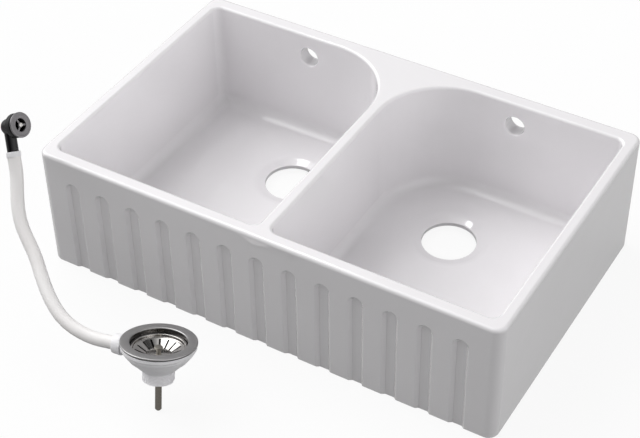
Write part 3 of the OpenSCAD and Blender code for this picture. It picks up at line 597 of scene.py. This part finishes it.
strainer_cup = pressed("strainer_cup_shell", [
    (flange_r, -sheet_t - flange_lip),
    (flange_r, 0, 1.0),
    (mouth_r, 0, 1.3),
    (mouth_r, -ledge_depth, 0.9),
    (cup_r, -ledge_depth, 0.9),
    (cup_r, -cup_wall_depth, 3),
    (cup_floor_r, -cup_depth, 3),
    (stud_r, -cup_depth),
], sheet_t)
for i in range(drain_count):
    turn = 2 * math.pi * i / drain_count
    drain = turned("drain", [
        (0, drain_low), (drain_r, drain_low), (drain_r, drain_top), (0, drain_top)], steps=32)
    drain_at = Vector((drain_ring_r * math.cos(turn), drain_ring_r * math.sin(turn), 0))
    settle(drain, Matrix.Translation(drain_at * mm))
    cut_out(strainer_cup, drain)
settle(strainer_cup, kit_place)


def seen_from(material, frame_place):
    """Gives a point's place as measured in another frame, such as the waste's own."""
    back = frame_place.inverted()
    return add_node(material, "ShaderNodeMapping", {
        "Vector": add_node(material, "ShaderNodeTexCoord").outputs["Object"],
        "Location": back.to_translation(),
        "Rotation": back.to_euler(),
    }).outputs["Vector"]


def rings(material, place, scale, detail):
    """Gives the number of a pattern that runs round the Z axis of a place's frame."""
    flat = add_node(material, "ShaderNodeVectorMath", {0: place, 1: (1, 1, 0)}, operation="MULTIPLY")
    radius = add_node(material, "ShaderNodeVectorMath", {0: flat.outputs[0]}, operation="LENGTH")
    noise = add_node(material, "ShaderNodeTexNoise", {
        "W": radius.outputs["Value"], "Scale": scale, "Detail": detail}, noise_dimensions="1D")
    return noise.outputs["Fac"]


# Stainless steel: the flange is brushed on a turning table to a soft grey with fine
# round scratches some 0.2 mm apart, drawn at 0.5 mm here so that they show. The drawn
# wall inside the cup is smoother, and its colour is darkened there as painted shade.
brushed_roughness = 0.34
drawn_roughness = 0.16
brushed_to = -1
shaded_smooth_from = -2.5
brushed_steel, shader = new_finish("stainless steel brushed in circles", Metallic=1)
local = seen_from(brushed_steel, kit_place)
scratches = rings(brushed_steel, local, scale=2000, detail=3)
brushed = vary_colour(brushed_steel, shader, scratches, ["a6a5a5", "cdcccc"])
depth = add_node(brushed_steel, "ShaderNodeSeparateXYZ", {"Vector": local})
inside = add_node(brushed_steel, "ShaderNodeMapRange", {
    "Value": depth.outputs["Z"], "From Min": brushed_to * mm, "From Max": shaded_smooth_from * mm})
# Painted shade: down the wall inside the cup the colour is mixed to a dark grey, which stands in for the
# shade there
steel = add_node(brushed_steel, "ShaderNodeMix", {
    "Factor": inside.outputs["Result"],
    "A": brushed.outputs["Color"],
    "B": linear("5c5a59"),
}, data_type="RGBA")
brushed_steel.node_tree.links.new(steel.outputs["Result"], shader.inputs["Base Color"])
smoothness = add_node(brushed_steel, "ShaderNodeMapRange", {
    "Value": inside.outputs["Result"], "To Min": brushed_roughness, "To Max": drawn_roughness})
brushed_steel.node_tree.links.new(smoothness.outputs["Result"], shader.inputs["Roughness"])
roughen(brushed_steel, shader, scratches, strength=0.25, height=0.05)
dress(strainer_cup, brushed_steel, "brushed_steel", "strainer_cup")

# The gaskets and washers
# Flat rings cut or moulded from black rubber, squeezed as the stud is tightened.
black_rubber, shader = new_finish("black moulded rubber", Roughness=0.5, IOR=1.45)
dust = clouds(black_rubber, scale=300, detail=3)
vary_colour(black_rubber, shader, dust, ["070708", "121213"])
roughen(black_rubber, shader, dust, strength=0.2, height=0.05)


def finish_node(name, material):
    """Gives a CAD node that keeps its own shape a material."""
    mesh = nodes[name].data
    mesh.materials.clear()
    mesh.materials.append(material)


for name in ("flange_gasket", "body_gasket", "stud_washer", "stem_ring", "union_seal"):
    finish_node(name, black_rubber)

# The waste body
# Injection moulded in white polypropylene: a funnel under the sink's lip, with a
# threaded outlet below, a spigot for the overflow and a hub that holds a brass nut.
body_rim_r = 56
body_top = 4.2
outlet_r = 23.9
outlet_root_r = 22.8
outlet_bore_r = 19.5
outlet_low = 63
foot_low = 43
spigot_root = 20
spigot_r = 11.5
spigot_bore_r = 8.5
spigot_boss_r = 14.5
spigot_boss_end = 55.5
spigot_end = 65.5
hub_r = 9
hub_top = 47
hub_low = 60
hub_rib_t = 3
hub_ribs = 3
rib_inset = 0.4
root_in = 0.6
root_out = 1.2
insert_clear_r = 7.3
thread_pitch = 2.309
thread_turns = 7
thread_flat = 0.22
thread_foot = 0.95

# The inside of the funnel, from its top down
funnel = [(48, -body_top), (48, -14, 2), (32, -34.2), (22.2, -foot_low)]


def add_on(piece, other):
    """Makes one solid of a piece and another, which is used up."""
    modify(piece, "BOOLEAN", operation="UNION", solver="EXACT", object=other)
    bpy.data.objects.remove(other)


def join(piece, *others):
    """Joins other shells to a piece as they stand."""
    show_only(piece)
    for other in others:
        other.select_set(True)
    bpy.ops.object.join()


waste_body = turned("waste_body_shell", [
    funnel[0],
    (body_rim_r, -body_top, 0.8),
    (body_rim_r, -9.2, 1.2),
    (53.6, -11.4, 1.5),
    (52.6, -15, 6),
    (43.5, -27, 1.5),
    (41.8, -27.6, 1),
    (26.8, -foot_low, 2.5),
    (outlet_root_r, -foot_low - 0.6, 1),
    (outlet_root_r, -outlet_low + 0.6, 0.8),
    (outlet_bore_r, -outlet_low, 0.6),
    (outlet_bore_r, -foot_low - 2),
    *funnel[:0:-1],
], steps=128)
spigot_place = Matrix.Translation((0, 0, -spigot_drop * mm)) @ Matrix.Rotation(-math.pi / 2, 4, "Y")
spigot = turned("spigot", [
    (0, spigot_root), (spigot_boss_r, spigot_root), (spigot_boss_r, spigot_boss_end, 0.8),
    (spigot_r, spigot_boss_end, 0.8), (spigot_r, spigot_end, 0.5), (0, spigot_end),
], steps=64, place=spigot_place)
hollow = turned("body_hollow", [(0, -body_top), *funnel, (0, -foot_low)], steps=128)
cut_out(spigot, hollow)
add_on(waste_body, spigot)
spigot_bore = turned("spigot_bore", [
    (0, spigot_root),
    (spigot_bore_r, spigot_root),
    (spigot_bore_r, spigot_end + cut),
    (0, spigot_end + cut),
], steps=48, place=spigot_place)
cut_out(waste_body, spigot_bore)

# The hub in the outlet, round the hollow for the brass nut. Its three ribs are let
# into it and into the outlet's wall.
hub = turned("hub", [
    (insert_clear_r, -hub_top), (hub_r, -hub_top, 0.5), (hub_r, -hub_low, 0.5), (insert_clear_r, -hub_low),
], steps=48)
for i in range(hub_ribs):
    rib = block(
        "rib",
        (hub_r - root_in, -hub_rib_t / 2, -hub_low + rib_inset),
        (outlet_bore_r + root_out, hub_rib_t / 2, -hub_top - rib_inset),
    )
    settle(rib, Matrix.Rotation(2 * math.pi * i / hub_ribs, 4, "Z"))
    add_on(hub, rib)

# The outlet's thread, one ridge wound down it with its two ends closed
bpy.ops.object.select_all(action="DESELECT")
bpy.ops.mesh.primitive_circle_add(vertices=4, radius=1 * mm, fill_type="NOTHING")
thread = bpy.context.object
thread.name = "outlet_thread"
ridge = [
    (outlet_root_r - 0.4, thread_foot),
    (outlet_r - 0.1, thread_flat),
    (outlet_r - 0.1, -thread_flat),
    (outlet_root_r - 0.4, -thread_foot),
]
thread_top = -foot_low - 3
for point, spot in zip(thread.data.vertices, ridge):
    point.co = Vector((spot[0], 0, thread_top + spot[1])) * mm
modify(thread, "SCREW", axis="Z", angle=2 * math.pi, screw_offset=-thread_pitch * mm,
       iterations=thread_turns, steps=64, render_steps=64, use_normal_calculate=True)
for middle in (thread_top, thread_top - thread_turns * thread_pitch):
    pick(thread, "edges", lambda x, y, z: abs(y) < near / 2 and x > 0 and abs(z - middle) < cut)
    bpy.ops.mesh.edge_face_add()
    finish_edit()
join(waste_body, hub, thread)
pick(waste_body, "vertices", lambda x, y, z: True)
finish_edit()
settle(waste_body, kit_place)

# White polypropylene, moulded: satin, a little milky, with a faint cool cast in
# patches and the fine dull skin that a bead blasted mould leaves.
white_plastic, shader = new_finish(
    "white moulded polypropylene", Roughness=0.36, IOR=1.49, SubsurfaceWeight=0.12,
    SubsurfaceRadius=(1, 1, 1), SubsurfaceScale=0.002)
patches = clouds(white_plastic, scale=22, detail=2)
vary_colour(white_plastic, shader, patches, ["f6f5f8", "fdfcfe"])
skin = clouds(white_plastic, scale=900, detail=2)
roughen(white_plastic, shader, skin, strength=0.1, height=0.05)
dress(waste_body, white_plastic, "white_plastic", "waste_body")
finish_node("hose_tail", white_plastic)

# The union nut
# A moulded nut with sixteen grip grooves, which draws the hose's tail on the spigot.
nut_start = 57
nut_r = 16
nut_end_r = 14.5
tail_clear_r = 8.3
nut_bore_r = spigot_r + 0.3
nut_wall = 3
nut_grooves = 16
nut_groove_r = 1.4
groove_at = Matrix.Translation(((nut_r + nut_groove_r / 2) * mm, 0, 0))
union_nut = turned("union_nut_shell", [
    (nut_bore_r, nut_start, 0.3), (nut_r, nut_start, 0.9), (nut_end_r, nut_end, 1.2),
    (tail_clear_r, nut_end, 0.3), (tail_clear_r, nut_end - nut_wall), (nut_bore_r, nut_end - nut_wall),
])
for i in range(nut_grooves):
    groove = turned("groove", [
        (0, nut_start - cut),
        (nut_groove_r, nut_start - cut),
        (nut_groove_r, nut_end + cut),
        (0, nut_end + cut),
    ], steps=16)
    settle(groove, Matrix.Rotation(2 * math.pi * i / nut_grooves, 4, "Z") @ groove_at)
    cut_out(union_nut, groove)
settle(union_nut, kit_place @ spigot_place)
dress(union_nut, white_plastic, "white_plastic", "union_nut")

# The brass inserts
# A hexagon and a ring cut from brass bar and moulded into the plastic. They are
# stained a little in patches.
brass, shader = new_finish("turned brass", Metallic=1, Roughness=0.3)
stain = clouds(brass, scale=200, detail=3)
vary_colour(brass, shader, stain, ["b98f45", "d8b468"])
finish_node("hub_insert", brass)
finish_node("elbow_insert", brass)

# The basket
# Pressed from thin stainless sheet and polished bright: a rim that hangs on the
# cup's ledge, and a dish cut by sixteen slots into petals round the knob.
basket_t = 0.8
basket_rim_r = 40.5
basket_rim_top = 8.4
basket_wall_r = 37.9
basket_wall_depth = 13
dish_top_r = 35
dish_floor_r = 20
dish_depth = 22
basket_hole_r = 2.6
slot_count = 16
slot_w = 3
slot_start = dish_floor_r - 0.5
slot_end = dish_top_r - 0.6
slot_edge_r = 0.45 * slot_w
slot_low = -dish_depth - 6
slot_high = 4 - basket_wall_depth

basket = pressed("basket_shell", [
    (basket_rim_r, -basket_rim_top),
    (basket_wall_r, -basket_rim_top, 0.8),
    (basket_wall_r, -basket_wall_depth, 0.6),
    (dish_top_r, -basket_wall_depth - basket_t, 0.8),
    (dish_floor_r, -dish_depth, 2),
    (basket_hole_r, -dish_depth),
], basket_t)
for i in range(slot_count):
    slot = block("slot", (slot_start, -slot_w / 2, slot_low), (slot_end, slot_w / 2, slot_high))
    pick_sharp(slot, lambda x, y, z: slot_low + cut < z < slot_high - cut)
    round_off(slot_edge_r, segments=4)
    settle(slot, Matrix.Rotation(2 * math.pi * i / slot_count, 4, "Z"))
    cut_out(basket, slot)
settle(basket, kit_place)

# Stainless steel, polished bright: near white where it sees the sky and black where
# it sees the cup, with faint round marks left by the buff.
bright_steel, shader = new_finish("polished stainless steel", Metallic=1, Roughness=0.12)
marks = rings(bright_steel, seen_from(bright_steel, kit_place), scale=900, detail=2)
vary_colour(bright_steel, shader, marks, ["c4c1be", "dddbd9"])
roughen(bright_steel, shader, marks, strength=0.15, height=0.05)
dress(basket, bright_steel, "bright_steel", "basket", body="basket")

# The knob, stem and seal
# A turned knob and stem hold a rubber seal under the dish; the stem slides in the
# hollow stud, which runs down through the hub and stands out below.
knob_top = 9
knob_r = 6.5
knob_t = 2.6
knob_neck_r = 3.5
knob_foot_r = 4.8
knob = turned("basket_knob_top", [
    (0, -knob_top),
    (knob_r, -knob_top, 0.5),
    (knob_r, -knob_top - knob_t, 0.8),
    (knob_neck_r, -knob_top - knob_t - 0.6, 1.2),
    (knob_neck_r, -dish_depth + 1.4, 1),
    (knob_foot_r, -dish_depth, 0.4),
    (0, -dish_depth),
], steps=64, place=kit_place)

# Stainless steel as the lathe leaves it: a darker satin with a fine grain
satin_steel, shader = new_finish("satin turned stainless steel", Metallic=1, Roughness=0.38)
grain = clouds(satin_steel, scale=700, detail=3, place=seen_from(satin_steel, kit_place))
vary_colour(satin_steel, shader, grain, ["8e8a82", "a8a49c"])
dress(knob, satin_steel, "bright_steel", "basket_knob", body="basket")
finish_node("basket_stem", satin_steel)
finish_node("basket_seal", black_rubber)

stud_bore_r = 3.4
stud_bore_low = 73.5
stud_head_r = 8
stud_head_top = 28.5
stud_head_low = 32
stud_taper = 2.5
stud = turned("fixing_stud_rod", [
    (0, -stud_len),
    (stud_tip_r, -stud_len, 0.8),
    (stud_r, -stud_len + stud_taper, 0.8),
    (stud_r, -stud_head_low, 0.3),
    (stud_head_r, -stud_head_low, 0.5),
    (stud_head_r, -stud_head_top, 0.8),
    (stud_bore_r, -stud_head_top, 0.3),
    (stud_bore_r, -stud_bore_low),
    (0, -stud_bore_low),
], steps=64, place=kit_place)

# Drawn steel rod with a dark warm skin, smooth enough to carry streaks along it
rod_steel, shader = new_finish("dark drawn steel rod", Metallic=1, Roughness=0.16)
grain = clouds(rod_steel, scale=400, detail=2, place=seen_from(rod_steel, kit_place))
vary_colour(rod_steel, shader, grain, ["6f6a63", "8f8a82"])
dress(stud, rod_steel, "bright_steel", "fixing_stud")

# The overflow fitting
# A black moulded elbow that clamps on the back wall with a thick rubber washer,
# and a steel rose in the bowl that a screw draws against it.
cuff_r = 11.2
cuff_len = 8
cuff_bore_r = hose_r + 0.15
leg_r = 8.8
leg_top = 2
leg_edge_r = 1.2
dome_r = 12.5
elbow_wall = 2.5
elbow_face = 13.7
elbow_flange_r = 18
elbow_flange_t = 1.2
tail_r = 8
tail_bore_r = 6.4
tail_bore_top = -3
tail_len = 12
tail_low = -leg_len - tail_len
barb_len = 2
barb_step = 0.8
boss_r = 4
boss_end = 8
boss_bore_r = 3.1
washer_r = 18.7
washer_bore_r = 11.5
washer_t = 9
collar_r = 13.5
collar_t = 3
rose_r = 19.3
rose_t = 3
rose_open_r = 9.8
rose_step = 0.4
spoke_count = 3
spoke_w = 3
spoke_edge_r = 0.4
rose_hub_r = 4
rose_hub_bore_r = 2
screw_r = 1.9
screw_head_r = 3.2
screw_head_h = 1.4
driver_w = 0.8
mouth_turn = Matrix.Rotation(math.pi / 2, 4, "Y")
mouth_place = elbow_place @ mouth_turn

hose_cuff = turned("hose_end_cuff", [
    (cuff_bore_r, -leg_len - cuff_len, 0.3), (cuff_r, -leg_len - cuff_len, 0.5),
    (cuff_r, -leg_len, 0.5), (cuff_bore_r, -leg_len, 0.3),
], steps=64, place=elbow_place)
dress(hose_cuff, white_plastic, "white_plastic", "hose_cuff")


def quarter_arc(radius):
    """Gives an outline's points from the bottom of a ball to its widest."""
    turns = [math.radians(degrees) for degrees in range(0, 91, 9)]
    return [(radius * math.sin(turn), -radius * math.cos(turn)) for turn in turns]


# The elbow: a dome and its flange, with the leg and its barb let in below
elbow = turned("elbow_shell", quarter_arc(dome_r) + [
    (dome_r, elbow_face - elbow_flange_t, 1), (elbow_flange_r, elbow_face - elbow_flange_t, 0.4),
    (elbow_flange_r, elbow_face, 0.4), (0, elbow_face),
], place=mouth_turn)
leg = turned("leg", [
    (0, leg_top), (leg_r, leg_top), (leg_r, -leg_len, 0.4), (tail_r, -leg_len),
    (tail_r, tail_low + barb_len), (tail_r - barb_step, tail_low), (0, tail_low),
], steps=64)
add_on(elbow, leg)
pick_sharp(elbow, lambda x, y, z: (
    -dome_r - cut < z < -dome_r / 2 and math.hypot(x, y) < leg_r + 0.4), angle=30)
round_off(leg_edge_r, segments=4)
inside_r = dome_r - elbow_wall
hollow = turned("elbow_hollow", quarter_arc(inside_r) + [
    (inside_r, elbow_face + cut), (0, elbow_face + cut)], steps=48, place=mouth_turn)
cut_out(elbow, hollow)
bore = turned("leg_bore", [
    (0, tail_bore_top), (tail_bore_r, tail_bore_top), (tail_bore_r, tail_low - cut), (0, tail_low - cut),
], steps=48)
cut_out(elbow, bore)

# The boss for the rose's screw, bored for its brass insert
boss = turned("boss", [
    (boss_bore_r, -inside_r + 1), (boss_bore_r, boss_end), (boss_r, boss_end, 0.3),
    (boss_r, -inside_r - 1), (0, -inside_r - 1), (0, -inside_r + 1),
], steps=48, place=mouth_turn)
add_on(elbow, boss)
pick(elbow, "vertices", lambda x, y, z: True)
finish_edit()
settle(elbow, elbow_place)

# Black polypropylene, moulded smooth, so that its round parts carry long soft streaks
black_plastic, shader = new_finish("black moulded polypropylene", Roughness=0.2, IOR=1.43)
skin = clouds(black_plastic, scale=260, detail=2)
vary_colour(black_plastic, shader, skin, ["040405", "0b0b0c"])
roughen(black_plastic, shader, skin, strength=0.12, height=0.05)
dress(elbow, black_plastic, "black_plastic", "overflow_elbow")

washer = turned("overflow_washer_ring", [
    (washer_bore_r, elbow_face, 0.6), (washer_r, elbow_face, 1.2),
    (washer_r, elbow_face + washer_t, 1.2), (washer_bore_r, elbow_face + washer_t, 0.6),
], place=mouth_place)
dress(washer, black_rubber, "black_rubber", "overflow_washer")

# The rose: a turned plate with a fine step round its face, an open middle, and
# three spokes to the hub that the screw sits in
rose_back = elbow_face + washer_t
plate_back = rose_back + collar_t
rose_front = plate_back + rose_t
rim_in_r = 0.85 * rose_r
hub_front = rose_front - screw_head_h
rose = turned("overflow_rose_plate", [
    (rose_open_r, rose_back, 0.3), (collar_r, rose_back, 0.4), (collar_r, plate_back, 0.3),
    (rose_r, plate_back, 0.5), (rose_r, rose_front, 0.9), (rim_in_r, rose_front, 0.2),
    (rim_in_r - rose_step, rose_front - rose_step, 0.2), (rose_open_r, rose_front - rose_step, 1),
])
hub = turned("rose_hub", [
    (rose_hub_bore_r, plate_back), (rose_hub_r, plate_back, 0.4),
    (rose_hub_r, hub_front, 0.4), (rose_hub_bore_r, hub_front),
], steps=48)
for i in range(spoke_count):
    spoke = block(
        "spoke",
        (rose_hub_r - root_in, -spoke_w / 2, plate_back),
        (rose_open_r + root_out, spoke_w / 2, hub_front),
    )
    pick_sharp(spoke, lambda x, y, z: True)
    round_off(spoke_edge_r, segments=2)
    settle(spoke, Matrix.Rotation(math.radians(90 + i * 360 / spoke_count), 4, "Z"))
    add_on(hub, spoke)
join(rose, hub)
settle(rose, mouth_place)

# Satin nickel plate over turned brass: an even mid grey that mirrors very little,
# with fine rings round the opening from the lathe, drawn about 0.8 mm apart.
satin_plate, shader = new_finish("satin nickel plate", Metallic=1, Roughness=0.42)
marks = rings(satin_plate, seen_from(satin_plate, mouth_place), scale=1200, detail=2)
vary_colour(satin_plate, shader, marks, ["737174", "918f90"])
roughen(satin_plate, shader, marks, strength=0.3, height=0.05)
dress(rose, satin_plate, "satin_steel", "overflow_rose")

screw = turned("rose_screw_head", [
    (0, boss_end / 4), (screw_r, boss_end / 4, 0.3), (screw_r, hub_front), (screw_head_r, hub_front, 0.2),
    (screw_head_r, rose_front, 0.5), (0, rose_front),
], steps=48)
driver = block(
    "driver",
    (-screw_head_r - cut, -driver_w / 2, rose_front - screw_head_h / 2),
    (screw_head_r + cut, driver_w / 2, rose_front + cut),
)
cut_out(screw, driver)
settle(screw, mouth_place)
dress(screw, bright_steel, "bright_steel", "rose_screw")

# The floor and the light
# A plain floor that the camera sees white, with the object's own soft shadow on it.
# A wide soft light stands high on the left and a level one on the right, with fainter
# ones high in front and level on the left, and one small lamp hangs above the left.
floor_w = 24
mirrored_share = 0.5
glow_share = 0.9
bpy.ops.object.select_all(action="DESELECT")
bpy.ops.mesh.primitive_plane_add(size=floor_w)
floor = bpy.context.object
floor.name = "pale_floor"

# A dull pale floor to the light that it throws back, and a bright page to the camera.
# In the glaze and the steel it is mirrored as something between the two.
paper = bpy.data.materials.new("pale paper floor")
paper.use_nodes = True
tree = paper.node_tree
tree.nodes.clear()
seen = add_node(paper, "ShaderNodeLightPath")
straight_or_mirrored = add_node(paper, "ShaderNodeMath", {
    0: seen.outputs["Is Glossy Ray"],
    1: mirrored_share,
    2: seen.outputs["Is Camera Ray"],
}, operation="MULTIPLY_ADD")
shown = add_node(paper, "ShaderNodeMath", {
    0: straight_or_mirrored.outputs[0], 1: seen.outputs["Is Transmission Ray"]}, operation="MAXIMUM")
dull = add_node(paper, "ShaderNodeBsdfDiffuse", {"Color": linear("707070")})
bright = add_node(paper, "ShaderNodeBsdfDiffuse", {"Color": linear("f0f0f0")})
glow = add_node(paper, "ShaderNodeEmission", {"Color": (1, 1, 1, 1), "Strength": 1})
page = add_node(paper, "ShaderNodeMixShader", {
    0: glow_share, 1: bright.outputs[0], 2: glow.outputs[0]})
mixed = add_node(paper, "ShaderNodeMixShader", {
    0: shown.outputs[0], 1: dull.outputs[0], 2: page.outputs[0]})
add_node(paper, "ShaderNodeOutputMaterial", {"Surface": mixed.outputs[0]})
floor.data.materials.append(paper)

# Each soft light: the way to its middle, how sharply it falls off, and its strength.
# The camera itself sees the room white.
soft_lights = [
    ((-0.7, 0, 0.7), 6, 3.75),
    ((0, -0.6, 0.8), 6, 0.2),
    ((-1, 0, 0), 1.5, 0.4),
    ((1, 0, 0), 1.5, 1.5),
]
room = bpy.data.worlds.new("pale room")
bpy.context.scene.world = room
room.use_nodes = True
room.node_tree.nodes.clear()
seen = add_node(room, "ShaderNodeLightPath")
look = add_node(room, "ShaderNodeTexCoord").outputs["Generated"]
level = 0
for middle, fall, strength in soft_lights:
    toward = add_node(room, "ShaderNodeVectorMath", {0: look, 1: middle}, operation="DOT_PRODUCT")
    in_front = add_node(room, "ShaderNodeMath", {0: toward.outputs["Value"], 1: 0}, operation="MAXIMUM")
    faded = add_node(room, "ShaderNodeMath", {0: in_front.outputs[0], 1: fall}, operation="POWER")
    level = add_node(room, "ShaderNodeMath", {
        0: faded.outputs[0], 1: strength, 2: level}, operation="MULTIPLY_ADD").outputs[0]
lit = add_node(room, "ShaderNodeBackground", {"Color": (1, 1, 1, 1), "Strength": level})
blank = add_node(room, "ShaderNodeBackground", {"Color": (1, 1, 1, 1), "Strength": 1})
mixed = add_node(room, "ShaderNodeMixShader", {
    0: seen.outputs["Is Camera Ray"], 1: lit.outputs[0], 2: blank.outputs[0]})
add_node(room, "ShaderNodeOutputWorld", {"Surface": mixed.outputs[0]})

# The small lamp, which draws the fine glints on the glaze and the steel
bpy.ops.object.light_add(type="AREA", location=(-1.15, 0.85, 2.7))
lamp = bpy.context.object
lamp.data.shape = "RECTANGLE"
lamp.data.size = 0.5
lamp.data.size_y = 0.9
lamp.data.energy = 8

bpy.context.scene.view_settings.view_transform = "Standard"
